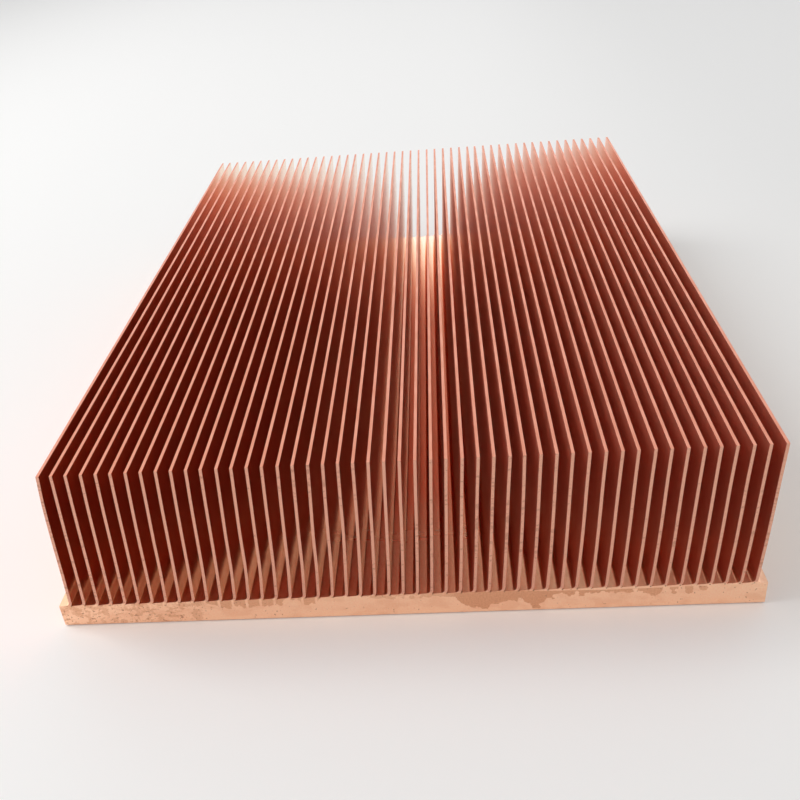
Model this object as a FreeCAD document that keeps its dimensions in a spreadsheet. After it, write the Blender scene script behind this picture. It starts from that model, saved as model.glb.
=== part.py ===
import FreeCAD, Part
import math
import os
import Sketcher

# Skived copper heat sink, millimetres. It is one solid. Each fin is a thin slice
# lifted from the block and bent upright, so it stands on a curled root, and the
# floor between two fins is a shallow ramp that starts at the notch left by the
# blade's tip. X runs across the fins, Y along them and Z up. The origin is the
# middle of the underside.

NODE = "heat_sink"

SIZES = {
    # fins
    "fin_count": 49,
    "fin_pitch": 1.56,
    "fin_thickness": 0.32,
    # tops lean towards +X, degrees from upright
    "fin_lean": 2.4,
    # inner radius of the curl that joins a fin to the floor on its -X side
    "root_radius": 0.45,
    # slope of the floor between two fins, degrees, climbing towards +X
    "floor_rise": 3.8,
    # base, measured up to the floor's tangent level under a root's curl
    "base_height": 3.05,
    "base_depth": 104.0,
    # from the base's -X end to the first fin's curl, and from the last curl to the +X end
    "left_ledge": 0.85,
    "right_ledge": 1.95,
    # how far the flat strip beyond the last fin lies below the base height
    "strip_drop": 0.08,
    # broken edge round the underside
    "edge_break": 0.15,
    # underside to fin tips
    "overall_height": 20.9,
    # how far the cutting outlines reach past the block
    "cut_clearance": 2.0,
}

BASE_WIDTH = "(<<sizes>>.left_ledge + (<<sizes>>.fin_count - 1) * <<sizes>>.fin_pitch + <<sizes>>.right_ledge)"
FIRST_CURL_FROM_MIDDLE = BASE_WIDTH + " / 2 - <<sizes>>.left_ledge"
LAST_CURL_FROM_MIDDLE = BASE_WIDTH + " / 2 - <<sizes>>.right_ledge"
OUTER_RADIUS = "<<sizes>>.root_radius + <<sizes>>.fin_thickness"
CURL_HEIGHT = "<<sizes>>.base_height + <<sizes>>.root_radius"
STRIP_HEIGHT = "<<sizes>>.base_height - <<sizes>>.strip_drop"
CUT_TOP = "<<sizes>>.overall_height + <<sizes>>.cut_clearance"
CUT_REACH = BASE_WIDTH + " / 2 + <<sizes>>.cut_clearance"
CUT_LENGTH = "<<sizes>>.base_depth + 2 * <<sizes>>.cut_clearance"
DEGREES = " * 1 deg"

# point numbers that a sketch uses for a piece's start, end and centre
START, END, CENTRE = range(1, 4)
ORIGIN = (-1, START)


def make_sheet(doc):
    sheet = doc.addObject("Spreadsheet::Sheet", "sizes")
    for row, (name, value) in enumerate(SIZES.items(), start=1):
        sheet.set("A%d" % row, name)
        sheet.set("B%d" % row, str(value))
        sheet.setAlias("B%d" % row, name)
    doc.recompute()
    return sheet


def origin_feature(body, role):
    for feature in body.Origin.OriginFeatures:
        if feature.Role == role:
            return feature
    raise ValueError("no origin feature " + role)


class Outline:
    """A closed outline in a sketch, with its dimensions tied to the sheet."""

    def __init__(self, body, name, plane):
        self.sketch = body.newObject("Sketcher::SketchObject", name)
        self.sketch.AttachmentSupport = [(origin_feature(body, plane), "")]
        self.sketch.MapMode = "FlatFace"

    def line(self, start, end):
        segment = Part.LineSegment(FreeCAD.Vector(*start), FreeCAD.Vector(*end))
        return self.sketch.addGeometry(segment, False)

    def arc(self, centre, radius, first_angle, last_angle):
        circle = Part.Circle(FreeCAD.Vector(*centre), FreeCAD.Vector(0, 0, 1), radius)
        return self.sketch.addGeometry(Part.ArcOfCircle(circle, first_angle, last_angle), False)

    def rule(self, kind, *where):
        return self.sketch.addConstraint(Sketcher.Constraint(kind, *where))

    def size(self, name, expression, kind, *where):
        """Adds a dimension at its present value and ties it to an expression."""
        index = self.rule(kind, *where)
        self.sketch.renameConstraint(index, name)
        self.sketch.setExpression(".Constraints." + name, expression)

    def close(self, *pieces):
        """Joins each line to the next one, end to start, and the last to the first."""
        for piece, following in zip(pieces, pieces[1:] + pieces[:1]):
            self.rule("Coincident", piece, END, following, START)


class Fins:
    """Start positions for the sketches, worked out from the sheet's values."""

    def __init__(self, sheet):
        self.pitch = sheet.fin_pitch
        self.lean = math.radians(sheet.fin_lean)
        self.rise = math.radians(sheet.floor_rise)
        self.inner = sheet.root_radius
        self.outer = sheet.root_radius + sheet.fin_thickness
        self.curl_height = sheet.base_height + sheet.root_radius
        self.width = sheet.left_ledge + (sheet.fin_count - 1) * sheet.fin_pitch + sheet.right_ledge
        self.first = sheet.left_ledge - self.width / 2
        self.last = self.width / 2 - sheet.right_ledge
        self.top = sheet.overall_height + sheet.cut_clearance
        self.reach = self.width / 2 + sheet.cut_clearance
        # the ramp leaves a root's outer arc where it meets the line that is
        # tangent to the next root's inner arc
        climb = self.inner + self.pitch * math.sin(self.rise)
        self.notch = math.asin(climb / self.outer) - self.rise

    def on_arc(self, centre, radius, angle):
        return (centre + radius * math.cos(angle), self.curl_height + radius * math.sin(angle))

    def up_the_fin(self, foot):
        height = self.top - foot[1]
        return (foot[0] + height * math.tan(self.lean), self.top)


def point(x, z):
    return (x, z, 0)


def block_feature(doc, body, sheet):
    """The copper block before skiving, with the edges of its underside broken."""
    outline = Outline(body, "block_outline", "XY_Plane")
    half_width = Fins(sheet).width / 2
    half_depth = sheet.base_depth / 2
    corners = [
        point(-half_width, -half_depth),
        point(half_width, -half_depth),
        point(half_width, half_depth),
        point(-half_width, half_depth),
    ]
    sides = [outline.line(a, b) for a, b in zip(corners, corners[1:] + corners[:1])]
    front, right, back, left = sides
    outline.close(*sides)
    outline.rule("Horizontal", front)
    outline.rule("Horizontal", back)
    outline.rule("Vertical", right)
    outline.rule("Vertical", left)
    outline.rule("Symmetric", front, START, back, START, *ORIGIN)
    outline.size("width", BASE_WIDTH, "DistanceX", front, START, front, END, 2 * half_width)
    outline.size("depth", "<<sizes>>.base_depth", "DistanceY", right, START, right, END, 2 * half_depth)

    block = body.newObject("PartDesign::Pad", "block")
    block.Profile = outline.sketch
    block.setExpression("Length", "<<sizes>>.overall_height")
    doc.recompute()

    underside = block.Shape.BoundBox.ZMin
    low_edges = [
        "Edge%d" % number
        for number, edge in enumerate(block.Shape.Edges, start=1)
        if all(abs(vertex.Z - underside) < Part.Precision.confusion() for vertex in edge.Vertexes)
    ]
    broken = body.newObject("PartDesign::Chamfer", "broken_edge")
    broken.Base = (block, low_edges)
    broken.setExpression("Size", "<<sizes>>.edge_break")
    doc.recompute()
    return broken


def cut(doc, body, name, outline):
    """Cuts an outline through the block from front to back."""
    volume = body.Shape.Volume
    pocket = body.newObject("PartDesign::Pocket", name)
    pocket.Profile = outline.sketch
    pocket.SideType = "Symmetric"
    pocket.Type = "Length"
    pocket.setExpression("Length", CUT_LENGTH)
    doc.recompute()
    if body.Shape.Volume >= volume:
        raise RuntimeError(name + " cut nothing")
    return pocket


def left_ledge_outline(body, sheet):
    """What is cut away on the -X side of the first fin."""
    fins = Fins(sheet)
    outline = Outline(body, "left_ledge_outline", "XZ_Plane")
    curl = fins.first
    floor_end = fins.on_arc(curl, fins.inner, fins.rise - math.pi / 2)
    fin_foot = fins.on_arc(curl, fins.inner, -fins.lean)
    fin_top = fins.up_the_fin(fin_foot)
    drop = (floor_end[0] + fins.reach) * math.tan(fins.rise)
    floor_start = (-fins.reach, floor_end[1] - drop)

    floor = outline.line(point(*floor_start), point(*floor_end))
    root = outline.arc(point(curl, fins.curl_height), fins.inner, fins.rise - math.pi / 2, -fins.lean)
    fin = outline.line(point(*fin_foot), point(*fin_top))
    top = outline.line(point(*fin_top), point(-fins.reach, fins.top))
    end = outline.line(point(-fins.reach, fins.top), point(*floor_start))

    outline.rule("Tangent", floor, END, root, START)
    outline.rule("Tangent", root, END, fin, START)
    outline.rule("Coincident", fin, END, top, START)
    outline.rule("Coincident", top, END, end, START)
    outline.rule("Coincident", end, END, floor, START)
    outline.rule("Horizontal", top)
    outline.rule("Vertical", end)
    outline.size("radius", "<<sizes>>.root_radius", "Radius", root, fins.inner)
    outline.size("rise", "<<sizes>>.floor_rise" + DEGREES, "Angle", floor, fins.rise)
    outline.size("lean", "90 deg - <<sizes>>.fin_lean" + DEGREES, "Angle", fin, math.pi / 2 - fins.lean)
    outline.size("curl_place", FIRST_CURL_FROM_MIDDLE, "DistanceX", root, CENTRE, *ORIGIN, -curl)
    outline.size("curl_height", CURL_HEIGHT, "DistanceY", *ORIGIN, root, CENTRE, fins.curl_height)
    outline.size("cut_top", CUT_TOP, "DistanceY", *ORIGIN, top, START, fins.top)
    outline.size("cut_reach", CUT_REACH, "DistanceX", end, START, *ORIGIN, fins.reach)
    return outline


def gap_outline(body, sheet):
    """The gap between the first fin and the second."""
    fins = Fins(sheet)
    outline = Outline(body, "gap_outline", "XZ_Plane")
    curl = fins.first
    next_curl = curl + fins.pitch
    notch = fins.on_arc(curl, fins.outer, -fins.notch)
    near_foot = fins.on_arc(curl, fins.outer, -fins.lean)
    floor_end = fins.on_arc(next_curl, fins.inner, fins.rise - math.pi / 2)
    far_foot = fins.on_arc(next_curl, fins.inner, -fins.lean)
    near_top = fins.up_the_fin(near_foot)
    far_top = fins.up_the_fin(far_foot)

    near_root = outline.arc(point(curl, fins.curl_height), fins.outer, -fins.notch, -fins.lean)
    floor = outline.line(point(*notch), point(*floor_end))
    far_root = outline.arc(point(next_curl, fins.curl_height), fins.inner, fins.rise - math.pi / 2, -fins.lean)
    far_side = outline.line(point(*far_foot), point(*far_top))
    top = outline.line(point(*far_top), point(*near_top))
    near_side = outline.line(point(*near_foot), point(*near_top))

    outline.rule("Coincident", near_root, START, floor, START)
    outline.rule("Tangent", floor, END, far_root, START)
    outline.rule("Tangent", far_root, END, far_side, START)
    outline.rule("Coincident", far_side, END, top, START)
    outline.rule("Coincident", top, END, near_side, END)
    outline.rule("Tangent", near_side, START, near_root, END)
    outline.rule("Horizontal", top)
    outline.rule("Parallel", near_side, far_side)
    outline.rule("Horizontal", near_root, CENTRE, far_root, CENTRE)
    outline.size("outer_radius", OUTER_RADIUS, "Radius", near_root, fins.outer)
    outline.size("inner_radius", "<<sizes>>.root_radius", "Radius", far_root, fins.inner)
    outline.size("pitch", "<<sizes>>.fin_pitch", "DistanceX", near_root, CENTRE, far_root, CENTRE, fins.pitch)
    outline.size("rise", "<<sizes>>.floor_rise" + DEGREES, "Angle", floor, fins.rise)
    outline.size("lean", "90 deg - <<sizes>>.fin_lean" + DEGREES, "Angle", far_side, math.pi / 2 - fins.lean)
    outline.size("curl_place", FIRST_CURL_FROM_MIDDLE, "DistanceX", near_root, CENTRE, *ORIGIN, -curl)
    outline.size("curl_height", CURL_HEIGHT, "DistanceY", *ORIGIN, near_root, CENTRE, fins.curl_height)
    outline.size("cut_top", CUT_TOP, "DistanceY", *ORIGIN, top, START, fins.top)
    return outline


def right_ledge_outline(body, sheet):
    """What is cut away on the +X side of the last fin, down to a flat strip."""
    fins = Fins(sheet)
    outline = Outline(body, "right_ledge_outline", "XZ_Plane")
    curl = fins.last
    strip = sheet.base_height - sheet.strip_drop
    strip_angle = -math.asin((fins.curl_height - strip) / fins.outer)
    strip_start = fins.on_arc(curl, fins.outer, strip_angle)
    fin_foot = fins.on_arc(curl, fins.outer, -fins.lean)
    fin_top = fins.up_the_fin(fin_foot)

    root = outline.arc(point(curl, fins.curl_height), fins.outer, strip_angle, -fins.lean)
    floor = outline.line(point(*strip_start), point(fins.reach, strip))
    end = outline.line(point(fins.reach, strip), point(fins.reach, fins.top))
    top = outline.line(point(fins.reach, fins.top), point(*fin_top))
    fin = outline.line(point(*fin_foot), point(*fin_top))

    outline.rule("Coincident", root, START, floor, START)
    outline.rule("Coincident", floor, END, end, START)
    outline.rule("Coincident", end, END, top, START)
    outline.rule("Coincident", top, END, fin, END)
    outline.rule("Tangent", fin, START, root, END)
    outline.rule("Horizontal", floor)
    outline.rule("Vertical", end)
    outline.rule("Horizontal", top)
    outline.size("radius", OUTER_RADIUS, "Radius", root, fins.outer)
    outline.size("lean", "90 deg - <<sizes>>.fin_lean" + DEGREES, "Angle", fin, math.pi / 2 - fins.lean)
    outline.size("curl_place", LAST_CURL_FROM_MIDDLE, "DistanceX", *ORIGIN, root, CENTRE, curl)
    outline.size("curl_height", CURL_HEIGHT, "DistanceY", *ORIGIN, root, CENTRE, fins.curl_height)
    outline.size("level", STRIP_HEIGHT, "DistanceY", *ORIGIN, floor, START, strip)
    outline.size("cut_top", CUT_TOP, "DistanceY", *ORIGIN, top, START, fins.top)
    outline.size("cut_reach", CUT_REACH, "DistanceX", *ORIGIN, end, START, fins.reach)
    return outline


def skive(doc, body, sheet):
    """One gap, repeated between every two fins."""
    gap = cut(doc, body, "gap", gap_outline(body, sheet))
    gaps = body.newObject("PartDesign::LinearPattern", "gaps")
    gaps.Originals = [gap]
    gaps.Direction = (origin_feature(body, "X_Axis"), [""])
    gaps.Mode = "Spacing"
    gaps.setExpression("Offset", "<<sizes>>.fin_pitch")
    gaps.setExpression("Occurrences", "<<sizes>>.fin_count - 1")
    body.Tip = gaps
    doc.recompute()
    return gaps


def main():
    doc = FreeCAD.newDocument("heat_sink")
    sheet = make_sheet(doc)
    body = doc.addObject("PartDesign::Body", NODE)
    body.Label = NODE
    block_feature(doc, body, sheet)
    cut(doc, body, "left_ledge", left_ledge_outline(body, sheet))
    cut(doc, body, "right_ledge", right_ledge_outline(body, sheet))
    skive(doc, body, sheet)
    body.Placement = FreeCAD.Placement()
    doc.recompute()

    for item in doc.Objects:
        if "Invalid" in item.State or "Error" in item.State:
            raise RuntimeError(item.Name + " failed")
    shape = body.Shape
    if shape.isNull() or not shape.isValid() or len(shape.Solids) != 1:
        raise RuntimeError(NODE + " isn't one valid solid")

    os.makedirs("parts", exist_ok=True)
    shape.exportStep("parts/%s.step" % NODE)
    box = shape.BoundBox
    print(NODE, "%.2f x %.2f x %.2f mm" % (box.XLength, box.YLength, box.ZLength), "volume %.0f" % shape.Volume)


main()
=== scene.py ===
import bpy
import math

from mathutils import Euler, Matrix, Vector


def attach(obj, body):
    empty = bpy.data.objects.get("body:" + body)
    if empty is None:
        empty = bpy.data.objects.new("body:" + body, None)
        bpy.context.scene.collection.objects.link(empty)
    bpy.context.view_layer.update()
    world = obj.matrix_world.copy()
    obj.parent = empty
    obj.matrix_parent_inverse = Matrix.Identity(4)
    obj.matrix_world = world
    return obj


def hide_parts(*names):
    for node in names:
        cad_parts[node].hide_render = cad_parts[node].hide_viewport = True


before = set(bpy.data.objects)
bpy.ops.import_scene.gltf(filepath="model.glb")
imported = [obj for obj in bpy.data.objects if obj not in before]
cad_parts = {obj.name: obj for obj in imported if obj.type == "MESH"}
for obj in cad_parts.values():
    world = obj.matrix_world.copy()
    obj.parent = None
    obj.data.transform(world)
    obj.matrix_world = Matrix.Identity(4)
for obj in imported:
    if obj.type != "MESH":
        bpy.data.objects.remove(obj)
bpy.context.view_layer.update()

# A skived copper heat sink. It is one piece: a thin base with a row of tall fins
# that were sliced from the same block and bent upright. X runs across the fins, Y
# along them and Z up, in metres. The blade rubbed the +X side of each fin and the
# floor beside it bright, and the -X side is the free side of the slice, which
# stays matt.

FIN_COUNT = 49
PITCH = 0.00156
LEAN = math.radians(2.4)
ROOT_RADIUS = 0.00045
BASE_TOP = 0.00305
TIP = 0.0209
HALF_WIDTH = 0.03884
FIRST_CURL = -0.03799
# how wide the ledge beyond the last fin's curl is
RIGHT_LEDGE = 0.0019
# nothing lower than this is moved with a fin
FOOT = 0.0026
# the first fin's top was knocked inwards by this much, from this height upwards
BENT_TOP = 0.00016
BENT_FROM = 0.0160
# where the notch that the blade's tip leaves beside each fin's foot lies, from the foot's curl; the shade in
# it is painted there
NOTCH_OUT = 0.000571
NOTCH_HEIGHT = 0.002983

# heights where the fins are divided, so that they can be set one by one
FIN_STATIONS = (
    0.0040, 0.0047, 0.0056, 0.0067, 0.0081, 0.0098, 0.0117, 0.0137, 0.0156, 0.0173, 0.0187, 0.0199,
)
# how far each fin stands from its even place at these heights, in hundredths of a
# millimetre towards +X, from the first fin to the last
HUNDREDTH = 0.00001
STAND_HEIGHTS = (0.0038, 0.0075, 0.0120, 0.0165, 0.0204)
STAND = (
    (-6, -2, 0, 6, 14), (-5, -1, 2, 8, 15), (-5, -2, 1, 5, 12), (-5, -1, 2, 6, 16),
    (-5, 0, 4, 7, 16), (-5, 0, 4, 6, 12), (-5, 0, 0, 6, 15), (-6, 2, 3, 10, 15),
    (-6, 1, 5, 9, 16), (-6, 3, 5, 9, 16), (-6, 3, 6, 9, 16), (-7, 1, 4, 6, 11),
    (-7, 5, 5, 11, 16), (-7, 7, 4, 8, 13), (-8, 8, 9, 12, 14), (-8, 3, 6, 8, 12),
    (-8, 5, 7, 11, 17), (-8, 3, 3, 7, 12), (-8, 1, -1, 7, 13), (-8, 2, 2, 3, 8),
    (-8, 0, 8, 4, 3), (-8, 0, 4, 2, -2), (-9, -4, -2, -5, -3), (-9, -4, -3, -4, -3),
    (-10, -6, -3, -5, -4), (-10, -6, -4, -5, -4), (-10, -7, -5, -5, -3), (-10, -6, -6, -8, -8),
    (-10, -5, -5, -5, -3), (-10, -5, -4, -4, -1), (-10, -6, -4, -5, -2), (-10, -4, -2, -3, 1),
    (-10, -4, -2, -6, -13), (-9, -2, -1, -6, -9), (-9, 0, -1, -5, -9), (-8, -3, -4, -8, -10),
    (-8, -1, 2, -2, -2), (-6, 3, 4, 0, 1), (-3, 5, 4, 3, 4), (-1, 6, 7, 3, 2),
    (2, 10, 12, 9, 10), (4, 13, 14, 9, 8), (7, 16, 14, 10, 11), (13, 18, 17, 14, 13),
    (14, 20, 19, 14, 11), (16, 19, 16, 10, 10), (15, 22, 20, 13, 13), (15, 20, 19, 15, 13),
    (15, 21, 21, 17, 16),
)

RUBBED, SAWN, SHEARED, ROLLED, GROUND = range(5)


def only(thing):
    for other in bpy.context.selected_objects:
        other.select_set(False)
    thing.select_set(True)
    bpy.context.view_layer.objects.active = thing


def finned_block():
    """The sink's block, from a merged copy of the solid, divided across the fins."""
    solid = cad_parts["heat_sink"]
    block = bpy.data.objects.new("finned_block", solid.data.copy())
    bpy.context.scene.collection.objects.link(block)
    only(block)
    bpy.ops.object.mode_set(mode="EDIT")
    bpy.ops.mesh.select_all(action="SELECT")
    bpy.ops.mesh.remove_doubles(threshold=0.000001)
    bpy.ops.mesh.dissolve_limited(angle_limit=math.radians(0.05))
    for height in FIN_STATIONS:
        bpy.ops.mesh.select_all(action="SELECT")
        bpy.ops.mesh.bisect(plane_co=(0, 0, height), plane_no=(0, 0, 1))
    bpy.ops.object.mode_set(mode="OBJECT")
    return block


def fin_number(x, z):
    """Which fin a point belongs to, from 0 at the -X end, allowing for the lean."""
    upright = x - (z - BASE_TOP - ROOT_RADIUS) * math.tan(LEAN)
    return max(0, min(FIN_COUNT - 1, round((upright - FIRST_CURL - ROOT_RADIUS) / PITCH)))


def fair(heights, values, z):
    """A smooth curve through the values, level beyond its ends."""
    if z <= heights[0]:
        return values[0]
    if z >= heights[-1]:
        return values[-1]
    slopes = [(q - p) / (k - h) for h, k, p, q in zip(heights, heights[1:], values, values[1:])]
    turns = [slopes[0]] + [(m + n) / 2 for m, n in zip(slopes, slopes[1:])] + [slopes[-1]]
    at = max(index for index, height in enumerate(heights[:-1]) if height <= z)
    span = heights[at + 1] - heights[at]
    t = (z - heights[at]) / span
    return (
        values[at] * (1 + 2 * t) * (1 - t) ** 2 + turns[at] * span * t * (1 - t) ** 2
        + values[at + 1] * t * t * (3 - 2 * t) - turns[at + 1] * span * t * t * (1 - t)
    )


def stand_fins(block):
    """No two fins stand quite alike, and the first one's top was knocked inwards."""
    for vertex in block.data.vertices:
        x, y, z = vertex.co
        if z < FOOT or x < FIRST_CURL - 0.0002 or x > FIRST_CURL + FIN_COUNT * PITCH:
            continue
        number = fin_number(x, z)
        vertex.co.x += fair(STAND_HEIGHTS, STAND[number], z) * HUNDREDTH
        if number == 0:
            bent = max(0.0, (z - BENT_FROM) / (TIP - BENT_FROM))
            vertex.co.x += BENT_TOP * bent ** 1.6


class Finish:
    """A finish in the making: a material with its shader, and its nodes."""

    def __init__(self, name):
        self.material = bpy.data.materials.new(name)
        self.material.use_nodes = True
        self.tree = self.material.node_tree
        self.shader = self.tree.nodes["Principled BSDF"]
        self.place = self.add("ShaderNodeTexCoord").outputs["Object"]

    def add(self, kind, **settings):
        node = self.tree.nodes.new(kind)
        for name, value in settings.items():
            setattr(node, name, value)
        return node

    def join(self, value, socket):
        """Links an output to a socket, or writes a plain value into it."""
        if isinstance(value, bpy.types.NodeSocket):
            self.tree.links.new(value, socket)
        else:
            socket.default_value = value

    def axes(self, vector):
        node = self.add("ShaderNodeSeparateXYZ")
        self.join(vector, node.inputs[0])
        return [node.outputs[axis] for axis in "XYZ"]

    def noise(self, grains, shift=(0, 0, 0), detail=2, roughness=0.5):
        """Noise on the object's own coordinates, in grains per millimetre along each axis."""
        mapping = self.add("ShaderNodeMapping")
        self.join(self.place, mapping.inputs["Vector"])
        mapping.inputs["Scale"].default_value = [1000 * grain for grain in grains]
        mapping.inputs["Location"].default_value = shift
        node = self.add("ShaderNodeTexNoise")
        self.join(mapping.outputs["Vector"], node.inputs["Vector"])
        node.inputs["Scale"].default_value = 1
        node.inputs["Detail"].default_value = detail
        node.inputs["Roughness"].default_value = roughness
        return node.outputs["Fac"]

    def between(self, value, low, high, bottom=0.0, top=1.0, smooth=True):
        """Maps low to bottom and high to top, and holds beyond them."""
        node = self.add("ShaderNodeMapRange", interpolation_type="SMOOTHSTEP" if smooth else "LINEAR")
        self.join(value, node.inputs["Value"])
        node.inputs["From Min"].default_value = low
        node.inputs["From Max"].default_value = high
        node.inputs["To Min"].default_value = bottom
        node.inputs["To Max"].default_value = top
        return node.outputs["Result"]

    def one(self, operation, value):
        node = self.add("ShaderNodeMath", operation=operation)
        self.join(value, node.inputs[0])
        return node.outputs[0]

    def many(self, operation, first, *others):
        for other in others:
            node = self.add("ShaderNodeMath", operation=operation)
            self.join(first, node.inputs[0])
            self.join(other, node.inputs[1])
            first = node.outputs[0]
        return first

    def plus(self, *values):
        return self.many("ADD", *values)

    def minus(self, *values):
        return self.many("SUBTRACT", *values)

    def times(self, *values):
        return self.many("MULTIPLY", *values)

    def most(self, *values):
        return self.many("MAXIMUM", *values)

    def blend(self, share, a, b, kind="RGBA"):
        """Goes from a to b with the share, in colours, or in numbers where kind is FLOAT."""
        node = self.add("ShaderNodeMix", data_type=kind)
        self.join(share, node.inputs["Factor"])
        self.join((*a, 1) if isinstance(a, tuple) else a, node.inputs["A"])
        self.join((*b, 1) if isinstance(b, tuple) else b, node.inputs["B"])
        return node.outputs["Result"]

    def across(self, x, points):
        """A curve from one side of the sink to the other, as given (x, result) points."""
        node = self.add("ShaderNodeFloatCurve")
        self.join(self.between(x, -HALF_WIDTH, HALF_WIDTH, smooth=False), node.inputs["Value"])
        curve = node.mapping.curves[0]
        drawn = [((place + HALF_WIDTH) / (2 * HALF_WIDTH), result) for place, result in points]
        curve.points[0].location = drawn[0]
        curve.points[-1].location = drawn[-1]
        for place, result in drawn[1:-1]:
            curve.points.new(place, result)
        for point in curve.points:
            point.handle_type = "VECTOR"
        node.mapping.update()
        return node.outputs["Value"]

    def relief(self, height, depth, strength):
        """Bumps of a given depth, in metres, from a height between 0 and 1."""
        node = self.add("ShaderNodeBump")
        node.inputs["Distance"].default_value = depth
        node.inputs["Strength"].default_value = strength
        self.join(height, node.inputs["Height"])
        self.join(node.outputs["Normal"], self.shader.inputs["Normal"])

    def done(self, colour, roughness, metallic=1.0):
        self.join(colour, self.shader.inputs["Base Color"])
        self.join(roughness, self.shader.inputs["Roughness"])
        self.shader.inputs["Metallic"].default_value = metallic
        return self.material


def rubbed_copper():
    """Fin sides and floors: bright where the blade rubbed, matt on the free side."""
    finish = Finish("rubbed and free copper")
    x, y, z = finish.axes(finish.place)
    normal = finish.add("ShaderNodeNewGeometry").outputs["Normal"]
    across, along, up = finish.axes(normal)
    free = finish.between(across, -0.8, -0.3, 1, 0)
    # the floors are duller near the front end
    worn = finish.times(finish.between(up, 0.4, 0.9), finish.between(y, -0.047, -0.030, 1, 0))
    # painted light: the copper's colour is made lighter towards the far end, for the glow of light that comes
    # in there, and its roughness shifts with it
    painted_far_glow = finish.between(y, -0.035, 0.050, smooth=False)
    streaks = finish.noise((0.3, 1.3, 0.12))
    scuffs = finish.noise((3.0, 1.2, 3.0), detail=3, roughness=0.6)

    rubbed = finish.blend(finish.between(streaks, 0.35, 0.7), (0.96, 0.635, 0.435), (0.935, 0.59, 0.39))
    # painted light: both finishes are made lighter towards the far end
    rubbed = finish.blend(painted_far_glow, rubbed, (0.985, 0.75, 0.575))
    matt = finish.blend(finish.between(streaks, 0.3, 0.7), (0.98, 0.42, 0.30), (0.96, 0.38, 0.27))
    matt = finish.blend(painted_far_glow, matt, (0.985, 0.52, 0.375))
    scuffed = finish.blend(finish.between(scuffs, 0.3, 0.7), (0.99, 0.72, 0.475), (0.93, 0.63, 0.39))
    colour = finish.blend(worn, finish.blend(free, rubbed, matt), scuffed)

    gloss = finish.plus(
        finish.between(streaks, 0.3, 0.75, 0.14, 0.18), finish.times(worn, 0.15), finish.times(painted_far_glow, 0.04),
    )
    dull = finish.minus(finish.between(streaks, 0.3, 0.75, 0.41, 0.46), finish.times(painted_far_glow, 0.10))
    return finish.done(colour, finish.blend(free, gloss, dull, "FLOAT"))


# how low the stain reaches on the base's front, as a share of the base's height
STAIN_LOW = (
    (-0.03884, 0.60), (-0.0360, 0.45), (-0.0330, 0.62), (-0.0300, 0.50), (-0.0270, 0.66),
    (-0.0240, 0.72), (-0.0222, 0.90), (-0.0215, 0.66), (-0.0185, 0.70), (-0.0165, 0.64),
    (-0.0135, 0.72), (-0.0130, 1.00), (-0.0116, 1.00), (-0.0113, 0.66), (-0.0097, 0.74),
    (-0.0092, 1.00), (-0.0040, 0.98), (-0.0030, 0.86), (0.0030, 0.84), (0.0052, 0.86),
    (0.0060, 0.52), (0.0070, 0.24), (0.0092, 0.22), (0.0104, 0.46), (0.0128, 0.50),
    (0.0140, 0.22), (0.0151, 0.20), (0.0155, 0.52), (0.0170, 0.72), (0.0215, 0.74),
    (0.0262, 0.78), (0.0266, 0.46), (0.0275, 0.46), (0.0279, 1.00), (0.0284, 1.00),
    (0.0287, 0.62), (0.0293, 0.64), (0.0297, 1.00), (0.0301, 1.00), (0.0304, 0.60),
    (0.0310, 0.62), (0.0313, 1.00), (0.0316, 1.00), (0.0318, 0.80), (0.0325, 0.82),
    (0.0328, 1.00), (0.03884, 1.00),
)
# how high it starts: beyond the middle a clean rim is left along the floor's edge
STAIN_RIM = (
    (-0.03884, 1.00), (0.0125, 1.00), (0.0150, 0.94), (0.0220, 0.89), (0.0300, 0.92), (0.03884, 0.94),
)
STAIN_STRENGTH = (
    (-0.03884, 0.55), (-0.0240, 0.60), (-0.0215, 0.85), (-0.0100, 0.80), (-0.0030, 0.55),
    (0.0045, 0.60), (0.0060, 1.00), (0.0160, 1.00), (0.0270, 0.85), (0.03884, 0.75),
)
# how strong the noise has to be for a speck
SPECK_BAR = ((-0.03884, 0.64), (-0.0250, 0.66), (-0.0180, 0.70), (0.0100, 0.74), (0.03884, 0.70))


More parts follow.
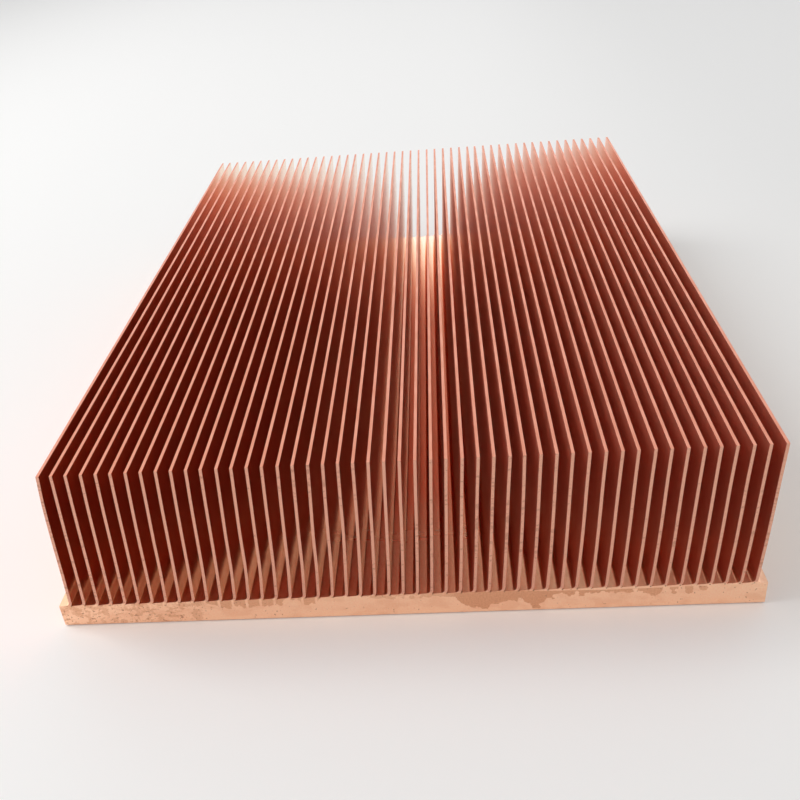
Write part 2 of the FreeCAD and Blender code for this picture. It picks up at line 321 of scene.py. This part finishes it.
def sawn_copper():
    """The ends of the fins and of the base, cut straight through and then stained."""
    finish = Finish("sawn copper")
    x, y, z = finish.axes(finish.place)
    grain = finish.noise((5.5, 5.5, 5.5), detail=4, roughness=0.62)
    grainy = finish.between(grain, 0.3, 0.7)
    cloud = finish.noise((0.55, 0.55, 0.9), detail=3)
    on_base = finish.between(z, BASE_TOP, BASE_TOP + 0.0001, 1, 0)
    in_front = finish.between(y, -0.01, 0.01, 1, 0)
    base_tint = finish.blend(grainy, (0.98, 0.60, 0.40), (1.0, 0.675, 0.475))
    base_tint = finish.blend(finish.between(cloud, 0.45, 0.66, 0, 0.4), base_tint, (0.86, 0.47, 0.29))
    fin_tint = finish.blend(grainy, (0.72, 0.355, 0.245), (0.81, 0.43, 0.31))
    colour = finish.blend(on_base, fin_tint, base_tint)

    # the stain that crept down the front of the base, with a frayed lower edge
    fray = finish.between(finish.noise((1.1, 1.1, 1.3), (4, 0, 0)), 0.3, 0.7, -0.0004, 0.0004)
    low = finish.plus(finish.times(finish.across(x, STAIN_LOW), BASE_TOP), fray)
    rim = finish.times(finish.across(x, STAIN_RIM), BASE_TOP)
    # it leaves the fins' feet clean up to the middle, and is patchy near the -X end
    step = finish.one("FRACT", finish.times(finish.minus(x, FIRST_CURL), 1 / PITCH))
    stem = finish.between(finish.one("ABSOLUTE", finish.minus(step, 0.12)), 0.05, 0.13)
    blotch = finish.noise((1.1, 1.1, 1.6), (0, 3, 0), detail=3, roughness=0.65)
    stain = finish.times(
        finish.between(finish.minus(z, low), 0, 0.00008),
        finish.between(finish.minus(rim, z), -0.00004, 0.00006),
        finish.most(stem, finish.between(x, -0.0085, -0.0075)),
        finish.across(x, STAIN_STRENGTH),
        finish.most(finish.between(blotch, 0.44, 0.58), finish.between(x, -0.023, -0.021)),
        in_front, on_base,
    )
    stained = finish.blend(grainy, (0.70, 0.365, 0.215), (0.79, 0.435, 0.265))
    colour = finish.blend(stain, colour, stained)

    # soft tan mottling near the -X end
    mottle = finish.noise((0.75, 0.75, 1.3), (0, 9, 3), detail=3, roughness=0.6)
    mottle = finish.times(
        finish.between(mottle, 0.50, 0.55), finish.between(x, -0.0235, -0.0215, 1, 0), in_front, on_base,
    )
    colour = finish.blend(finish.times(mottle, 0.6), colour, stained)

    # specks of tarnish, close together near the -X end
    dots = finish.noise((3.6, 3.6, 3.6), (0, 0, 7), detail=1, roughness=0.4)
    speck = finish.between(finish.minus(dots, finish.across(x, SPECK_BAR)), 0, 0.03)
    speck = finish.times(speck, on_base)
    colour = finish.blend(finish.times(speck, 0.62), colour, (0.44, 0.20, 0.13))

    # brown dashes on some of the fins' edges
    dash = finish.noise((0.9, 0.9, 2.4), (0, 0, 2), detail=3, roughness=0.7)
    some = finish.noise((0.11, 0.11, 0.09), (6, 0, 0), detail=1)
    dash = finish.between(finish.plus(dash, finish.times(some, 0.5)), 0.84, 0.90)
    dash = finish.times(dash, finish.minus(1.0, on_base))
    colour = finish.blend(finish.times(dash, 0.6), colour, (0.47, 0.23, 0.155))

    # painted shade: a dark spot in the notch that the blade's tip leaves beside each foot, where shade falls
    step = finish.times(finish.minus(x, FIRST_CURL + NOTCH_OUT - PITCH / 2), 1 / PITCH)
    aside = finish.times(finish.minus(finish.one("FRACT", step), 0.5), PITCH)
    above = finish.minus(z, NOTCH_HEIGHT - 0.00002)
    reach = finish.one("SQRT", finish.plus(finish.times(aside, aside), finish.times(above, above)))
    notch_shade = finish.times(finish.between(reach, 0.00005, 0.00011, 1, 0), finish.between(blotch, 0.38, 0.5))
    colour = finish.blend(finish.times(notch_shade, 0.85), colour, (0.12, 0.04, 0.025))

    tarnish = finish.most(stain, finish.most(speck, dash))
    roughness = finish.plus(
        finish.between(grain, 0.3, 0.7, 0.44, 0.33), finish.times(tarnish, 0.12), finish.times(on_base, 0.10),
    )
    finish.relief(grain, 0.00002, 0.35)
    return finish.done(colour, roughness)


def sheared_copper():
    """The fins' top edges: the block's old face, scuffed along the fin."""
    finish = Finish("sheared copper")
    scuff = finish.noise((3.0, 0.35, 3.0), detail=4, roughness=0.6)
    colour = finish.blend(finish.between(scuff, 0.35, 0.68), (0.72, 0.295, 0.195), (0.82, 0.365, 0.255))
    return finish.done(colour, finish.between(scuff, 0.3, 0.7, 0.5, 0.38))


def rolled_copper():
    """The base's two long sides and the ledges beside the first and last fins."""
    finish = Finish("rolled copper")
    grain = finish.noise((1.6, 0.5, 3.0), detail=4, roughness=0.6)
    colour = finish.blend(finish.between(grain, 0.35, 0.68), (0.80, 0.44, 0.285), (0.93, 0.57, 0.39))
    return finish.done(colour, finish.between(grain, 0.3, 0.7, 0.44, 0.3))


def ground_copper():
    """The underside, ground flat along its length for the chip's lid."""
    finish = Finish("ground copper")
    lines = finish.noise((9.0, 0.06, 9.0), detail=3, roughness=0.7)
    colour = finish.blend(finish.between(lines, 0.3, 0.7), (0.86, 0.52, 0.36), (0.95, 0.62, 0.46))
    finish.relief(lines, 0.00001, 0.3)
    return finish.done(colour, finish.between(lines, 0.3, 0.7, 0.34, 0.24))


def give_finishes(block):
    """Each face gets the finish that its place in the making of the sink gave it."""
    finishes = [rubbed_copper(), sawn_copper(), sheared_copper(), rolled_copper(), ground_copper()]
    block.data.materials.clear()
    for finish in finishes:
        block.data.materials.append(finish)
    for face in block.data.polygons:
        normal = face.normal
        place = face.center
        on_side = place.z < BASE_TOP and abs(normal.z) < 0.9 and abs(place.x) > HALF_WIDTH - 0.0002
        on_right_ledge = place.z < BASE_TOP and place.x > HALF_WIDTH - RIGHT_LEDGE
        if abs(normal.y) > 0.9:
            face.material_index = SAWN
        elif normal.z < -0.5 and place.z < 0.001:
            face.material_index = GROUND
        elif normal.z > 0.9 and place.z > TIP - 0.0005:
            face.material_index = SHEARED
        elif on_side or on_right_ledge or place.z < 0.0002:
            face.material_index = ROLLED
        else:
            face.material_index = RUBBED


def white_table():
    """Painted light and shade: brightest beside the sink, a painted strip of light, and painted shade towards
    the near edge and both sides.
    """
    finish = Finish("white table")
    x, y, z = finish.axes(finish.place)
    painted_light_and_shade = finish.times(
        finish.between(y, -0.750, -0.650, 0.78, 0.96), finish.between(y, -0.560, -0.640, 0.97, 1.0),
        finish.between(x, 0.100, 0.010, 0.90, 1.0), finish.between(x, -0.420, -0.110, 0.62, 1.0),
    )
    return finish.done(painted_light_and_shade, 0.5, metallic=0.0)


block = finned_block()
stand_fins(block)
give_finishes(block)
only(block)
bpy.ops.object.shade_smooth_by_angle(angle=math.radians(30))
bpy.ops.object.modifier_add(type="WEIGHTED_NORMAL")
block.modifiers[-1].keep_sharp = True
bpy.ops.object.modifier_apply(modifier=block.modifiers[-1].name)
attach(block, "root")
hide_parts("heat_sink")

bpy.ops.mesh.primitive_plane_add(size=3, location=(0, 0.6, -0.00002))
table = bpy.context.object
table.name = "table"
table.data.materials.append(white_table())

# a plain white studio: the light it gives, what the camera sees of it, and what the
# copper mirrors, which is brighter low down than overhead
LIGHT = 0.60
BACKDROP = 0.90
MIRRORED_LOW = 1.35
MIRRORED_HIGH = 0.85
world = bpy.data.worlds.new("studio")
bpy.context.scene.world = world
world.use_nodes = True
nodes = world.node_tree.nodes
links = world.node_tree.links
background = nodes["Background"]
background.inputs["Color"].default_value = (1.0, 1.0, 1.0, 1)
around = nodes.new("ShaderNodeTexCoord")
parts = nodes.new("ShaderNodeSeparateXYZ")
links.new(around.outputs["Generated"], parts.inputs[0])
mirrored = nodes.new("ShaderNodeMapRange")
mirrored.interpolation_type = "SMOOTHSTEP"
links.new(parts.outputs["Z"], mirrored.inputs["Value"])
mirrored.inputs["From Min"].default_value = 0.32
mirrored.inputs["From Max"].default_value = 0.64
mirrored.inputs["To Min"].default_value = MIRRORED_LOW
mirrored.inputs["To Max"].default_value = MIRRORED_HIGH
rays = nodes.new("ShaderNodeLightPath")
level = nodes.new("ShaderNodeMapRange")
links.new(rays.outputs["Is Glossy Ray"], level.inputs["Value"])
level.inputs["To Min"].default_value = LIGHT
links.new(mirrored.outputs["Result"], level.inputs["To Max"])
shown = nodes.new("ShaderNodeMapRange")
links.new(rays.outputs["Is Camera Ray"], shown.inputs["Value"])
links.new(level.outputs["Result"], shown.inputs["To Min"])
shown.inputs["To Max"].default_value = BACKDROP
links.new(shown.outputs["Result"], background.inputs["Strength"])

bpy.ops.object.light_add(type="AREA", location=(-0.50, 0.04, 0.55))
window = bpy.context.object
window.name = "window"
window.data.size = 0.42
window.data.energy = 2.6
window.data.color = (1.0, 0.985, 0.96)
# it faces the middle of the underside
window.rotation_euler = (-Vector(window.location)).to_track_quat("-Z", "Y").to_euler()

bpy.ops.object.camera_add(location=(0.00617, -0.12720, 0.07414))
camera = bpy.context.object
camera.name = "camera"
camera.rotation_euler = Euler([math.radians(angle) for angle in (58.479, 4.570, 2.030)])
camera.data.sensor_width = 36
camera.data.lens = 41.75
camera.data.shift_x = 0.02
camera.data.clip_start = 0.005

# light goes a long way between the fins
scene = bpy.context.scene
scene.camera = camera
scene.view_settings.view_transform = "Standard"
scene.cycles.max_bounces = 48
scene.cycles.glossy_bounces = 48
scene.cycles.diffuse_bounces = 6
